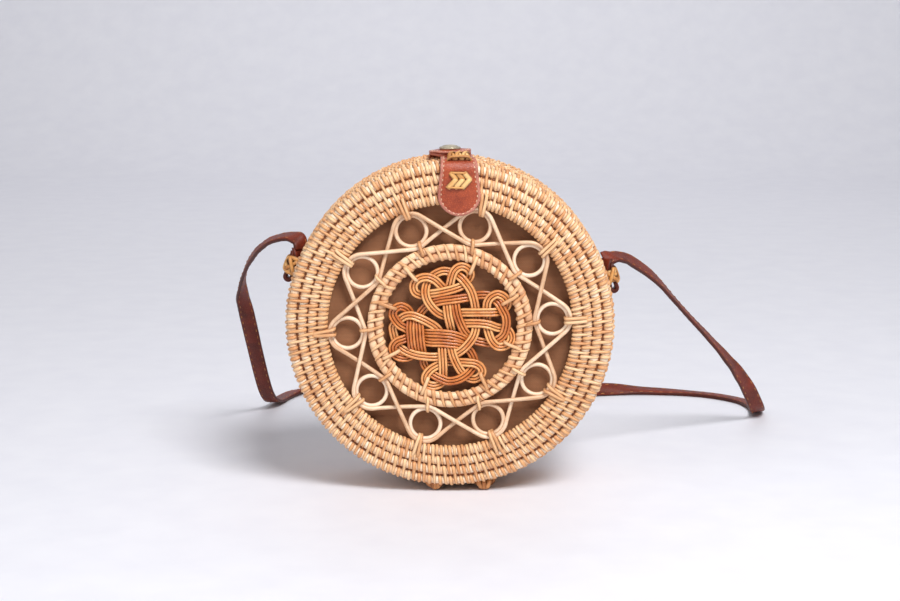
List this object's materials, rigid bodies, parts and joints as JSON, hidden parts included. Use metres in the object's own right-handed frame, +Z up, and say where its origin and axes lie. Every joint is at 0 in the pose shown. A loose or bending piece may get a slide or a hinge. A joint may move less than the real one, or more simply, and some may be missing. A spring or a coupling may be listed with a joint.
{
  "type": "round rattan shoulder bag",
  "caption": "Round coiled-rattan shoulder bag with an openwork scroll and knot face, a leather tab with snap strap, bottom hinges and a long leather strap.",
  "frame": {"origin": "on the standing surface, below the middle of the bag, in the seam between its halves", "axes": "+X to the right as the face is seen, +Y from the face to the back, +Z up"},
  "size_m": [0.3761, 0.3187, 0.2122],
  "materials": {
    "coil_rattan": "satin",
    "scroll_cane": "satin",
    "knot_rattan": "satin",
    "lashing_strip": "satin",
    "lining_cloth": "matte",
    "tab_leather": "satin",
    "strap_leather": "satin",
    "snap_metal": "antique"
  },
  "bodies": {
    "back_shell": {"back_coil_wall": "coil_rattan", "back_coil_disc": "coil_rattan", "back_lining_wall": "lining_cloth", "back_lining_disc": "lining_cloth", "closure_base": "tab_leather", "closure_lashing": "lashing_strip", "strap_anchor_left": "strap_leather", "strap_anchor_right": "strap_leather", "anchor_lashing_left": "lashing_strip", "anchor_lashing_right": "lashing_strip", "hinge_back_straps": "lashing_strip", "hinge_pins": "lashing_strip", "back_foot_lashings": "lashing_strip", "shoulder_strap": "strap_leather"},
    "front_shell": {"front_coil_wall": "coil_rattan", "front_coil_border": "coil_rattan", "inner_ring": "coil_rattan", "scroll_rings": "scroll_cane", "scroll_cane_front": "scroll_cane", "scroll_cane_back": "scroll_cane", "scroll_ties_outer": "lashing_strip", "scroll_ties_inner": "lashing_strip", "knot_band_upright": "knot_rattan", "knot_band_level": "knot_rattan", "knot_arches": "knot_rattan", "knot_ties": "lashing_strip", "front_lining_disc": "lining_cloth", "front_lining_wall": "lining_cloth", "front_tab": "tab_leather", "tab_lashing_lower": "lashing_strip", "tab_lashing_upper": "lashing_strip", "snap_stud": "snap_metal", "hinge_front_straps": "lashing_strip", "front_foot_lashings": "lashing_strip"},
    "closing_flap": {"closure_strap": "tab_leather", "snap_cap": "snap_metal", "snap_socket": "snap_metal"}
  },
  "joints": [
    {"name": "lid_hinge", "type": "hinge", "parent": "back_shell", "child": "front_shell", "pos_m": [0, 0, 0.0018], "axis": [1, 0, 0], "range_deg": [0, 100]},
    {"name": "flap_bend", "type": "hinge", "parent": "back_shell", "child": "closing_flap", "pos_m": [0, 0.00447, 0.20555], "axis": [-1, 0, 0], "range_deg": [0, 100]}
  ]
}
